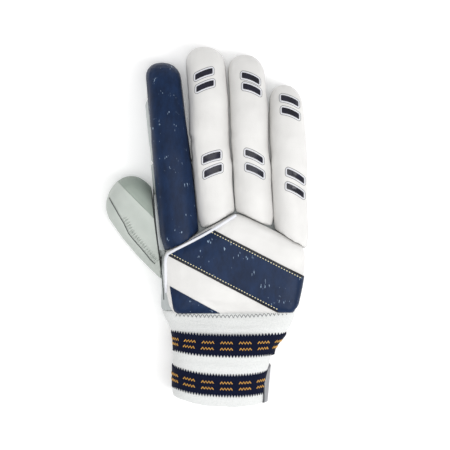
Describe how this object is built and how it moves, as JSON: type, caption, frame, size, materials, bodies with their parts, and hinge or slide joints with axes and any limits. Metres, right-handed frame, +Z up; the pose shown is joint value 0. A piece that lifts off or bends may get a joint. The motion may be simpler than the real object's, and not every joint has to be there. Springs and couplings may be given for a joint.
{
  "type": "cricket batting glove",
  "caption": "Right-hand padded batting glove with finger rolls, a back panel, a padded thumb and a towelling cuff, lying palm down.",
  "frame": {"origin": "on the surface that the glove lies on, under the middle of its outline", "axes": "+Y from the wrist to the fingertips, +X from the thumb to the little finger, +Z up out of the back of the hand"},
  "size_m": [0.1586, 0.281, 0.0469],
  "materials": {
    "white_hide": "smooth white coated leather with a soft sheen",
    "navy_hide": "crackled navy coated leather with fine pale flecks",
    "palm_leather": "soft pale grey leather",
    "thumb_leather": "soft pale grey-green leather",
    "vent_plate": "glossy dark navy",
    "towelling": "white looped towelling",
    "navy_elastic": "matt navy knitted elastic",
    "strap_vinyl": "grey coated strap",
    "gold_thread": "gold stitching and knitted dashes"
  },
  "bodies": {
    "root": {"hand": "palm_leather", "index_stall": "palm_leather", "middle_stall": "palm_leather", "ring_stall": "palm_leather", "little_stall": "palm_leather", "index_roll": "navy_hide", "middle_roll": "white_hide", "ring_roll": "white_hide", "little_roll": "white_hide", "middle_vent_1": "vent_plate", "middle_vent_2": "vent_plate", "middle_vent_3": "vent_plate", "middle_vent_4": "vent_plate", "ring_vent_1": "vent_plate", "ring_vent_2": "vent_plate", "ring_vent_3": "vent_plate", "ring_vent_4": "vent_plate", "little_vent_1": "vent_plate", "little_vent_2": "vent_plate", "little_vent_3": "vent_plate", "little_vent_4": "vent_plate", "back_panel": "white_hide", "panel_band": "navy_hide", "panel_corner": "navy_hide", "thumb_stall": "palm_leather", "thumb_back_pad": "thumb_leather", "thumb_side_pad": "thumb_leather", "cuff": "towelling", "upper_band": "navy_elastic", "lower_band": "navy_elastic", "strap": "strap_vinyl"}
  },
  "joints": []
}
